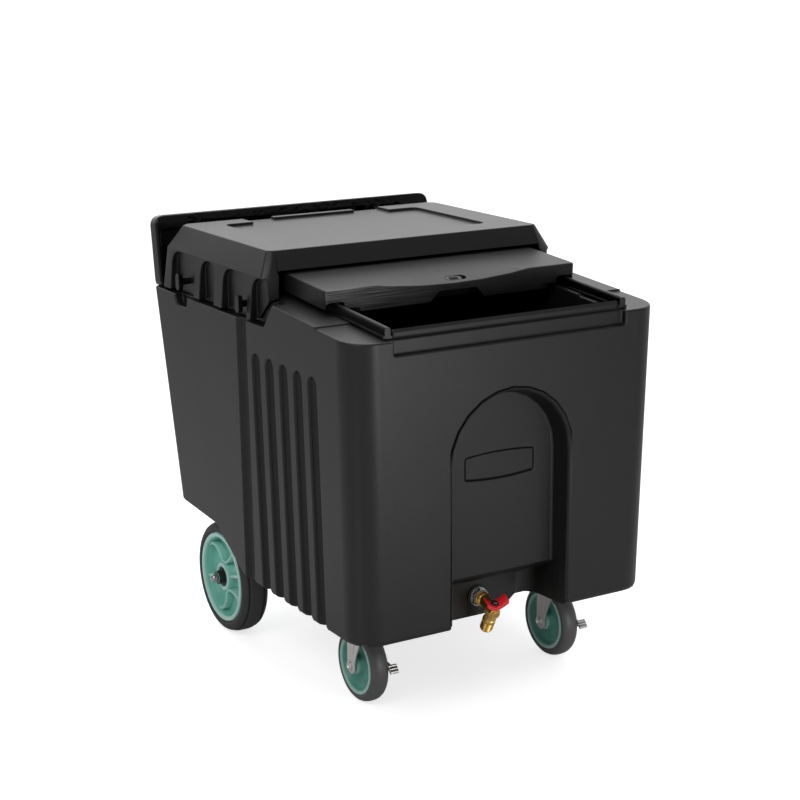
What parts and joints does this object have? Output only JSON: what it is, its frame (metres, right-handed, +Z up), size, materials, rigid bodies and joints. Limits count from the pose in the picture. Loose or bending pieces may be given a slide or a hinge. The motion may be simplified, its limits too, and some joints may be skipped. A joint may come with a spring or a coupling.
{
  "type": "wheeled ice chest",
  "caption": "Insulated plastic ice bin on two fixed wheels and two braked swivel casters, with a sliding lid under a clamped hood, a push handle and a drain valve.",
  "frame": {"origin": "on the ground, midway between the outermost sides and midway between the front face and the back of the handle", "axes": "+Z up, +Y from the front face towards the push handle, +X to the right of someone who stands behind the handle"},
  "size_m": [0.595, 0.7516, 0.7417],
  "materials": {
    "tub": "charcoal black rotomoulded polyethylene with a fine satin grain",
    "hood": "charcoal black moulded polyethylene with a fine grain",
    "lid": "charcoal black moulded polyethylene, slightly lighter",
    "gloss": "glossy black moulded plastic",
    "rail": "black anodised aluminium extrusion with bare cut ends",
    "hub": "sea green moulded polyolefin",
    "tyre": "dark grey thermoplastic rubber",
    "zinc": "zinc plated pressed steel",
    "steel": "bright stainless steel",
    "seal": "black rubber",
    "brass": "machined brass",
    "red": "red coated steel",
    "shelf": "off-white polyethylene"
  },
  "bodies": {
    "chest": {"tub_body": "tub", "drain_shelf": "shelf", "hood_cover": "hood", "push_handle": "gloss", "slide_rail_left": "rail", "slide_rail_right": "rail", "handle_screw_left": "zinc", "handle_screw_right": "zinc", "rear_axle": "zinc", "axle_washer_left": "zinc", "axle_washer_right": "zinc", "axle_nut_left": "steel", "axle_nut_right": "steel", "axle_bracket_left": "zinc", "axle_bracket_right": "zinc", "axle_spacer_left": "zinc", "axle_spacer_right": "zinc", "caster_plate_left": "zinc", "caster_plate_right": "zinc", "plate_bolt_left_front_inner": "zinc", "plate_bolt_left_front_outer": "zinc", "plate_bolt_left_rear_inner": "zinc", "plate_bolt_left_rear_outer": "zinc", "plate_bolt_right_front_inner": "zinc", "plate_bolt_right_front_outer": "zinc", "plate_bolt_right_rear_inner": "zinc", "plate_bolt_right_rear_outer": "zinc", "drain_tube": "steel", "drain_gasket": "seal", "drain_washer": "steel", "drain_nut": "steel", "valve_body": "brass", "valve_cap": "brass"},
    "lid": {"sliding_lid": "lid"},
    "latch": {"lid_latch": "gloss"},
    "knob_front_left": {"hood_knob_front_left": "gloss"},
    "knob_front_right": {"hood_knob_front_right": "gloss"},
    "knob_rear_left": {"hood_knob_rear_left": "gloss"},
    "knob_rear_right": {"hood_knob_rear_right": "gloss"},
    "valve": {"valve_ball": "steel", "valve_stem": "brass", "valve_lever": "red", "lever_screw": "steel"},
    "fork_left": {"caster_fork_left": "zinc", "caster_bolt_left": "zinc", "caster_nut_left": "zinc"},
    "fork_right": {"caster_fork_right": "zinc", "caster_bolt_right": "zinc", "caster_nut_right": "zinc"},
    "caster_wheel_left": {"caster_hub_left": "hub", "caster_tyre_left": "tyre"},
    "caster_wheel_right": {"caster_hub_right": "hub", "caster_tyre_right": "tyre"},
    "brake_left": {"brake_lever_left": "zinc"},
    "brake_right": {"brake_lever_right": "zinc"},
    "rear_wheel_left": {"rear_hub_left": "hub", "rear_tyre_left": "tyre"},
    "rear_wheel_right": {"rear_hub_right": "hub", "rear_tyre_right": "tyre"}
  },
  "joints": [
    {"name": "lid_slide", "type": "slide", "parent": "chest", "child": "lid", "axis": [0, -0.9977, -0.0675], "range_m": [-0.116, 0.152]},
    {"name": "latch_slide", "type": "slide", "parent": "lid", "child": "latch", "axis": [1, 0, 0], "range_m": [0, 0.008]},
    {"name": "knob_front_left_turn", "type": "hinge", "parent": "chest", "child": "knob_front_left", "pos_m": [-0.274, -0.006, 0.64], "axis": [-1, 0, 0], "continuous": true},
    {"name": "knob_front_right_turn", "type": "hinge", "parent": "chest", "child": "knob_front_right", "pos_m": [0.274, -0.006, 0.64], "axis": [1, 0, 0], "continuous": true},
    {"name": "knob_rear_left_turn", "type": "hinge", "parent": "chest", "child": "knob_rear_left", "pos_m": [-0.274, 0.233, 0.64], "axis": [-1, 0, 0], "continuous": true},
    {"name": "knob_rear_right_turn", "type": "hinge", "parent": "chest", "child": "knob_rear_right", "pos_m": [0.274, 0.233, 0.64], "axis": [1, 0, 0], "continuous": true},
    {"name": "valve_turn", "type": "hinge", "parent": "chest", "child": "valve", "pos_m": [0, -0.31702, 0.14752], "axis": [0, -0.454, 0.891], "range_deg": [0, 90]},
    {"name": "swivel_left", "type": "hinge", "parent": "chest", "child": "fork_left", "pos_m": [-0.189, -0.254, 0.14], "axis": [0, 0, 1], "continuous": true},
    {"name": "swivel_right", "type": "hinge", "parent": "chest", "child": "fork_right", "pos_m": [0.189, -0.254, 0.14], "axis": [0, 0, 1], "continuous": true},
    {"name": "caster_roll_left", "type": "hinge", "parent": "fork_left", "child": "caster_wheel_left", "pos_m": [-0.189, -0.219, 0.0635], "axis": [1, 0, 0], "continuous": true},
    {"name": "caster_roll_right", "type": "hinge", "parent": "fork_right", "child": "caster_wheel_right", "pos_m": [0.189, -0.219, 0.0635], "axis": [1, 0, 0], "continuous": true},
    {"name": "brake_press_left", "type": "hinge", "parent": "fork_left", "child": "brake_left", "pos_m": [-0.189, -0.219, 0.0635], "axis": [1, 0, 0], "range_deg": [0, 30]},
    {"name": "brake_press_right", "type": "hinge", "parent": "fork_right", "child": "brake_right", "pos_m": [0.189, -0.219, 0.0635], "axis": [1, 0, 0], "range_deg": [0, 30]},
    {"name": "rear_roll_left", "type": "hinge", "parent": "chest", "child": "rear_wheel_left", "pos_m": [-0.2306, 0.1855, 0.1014], "axis": [1, 0, 0], "continuous": true},
    {"name": "rear_roll_right", "type": "hinge", "parent": "chest", "child": "rear_wheel_right", "pos_m": [0.2306, 0.1855, 0.1014], "axis": [1, 0, 0], "continuous": true}
  ]
}
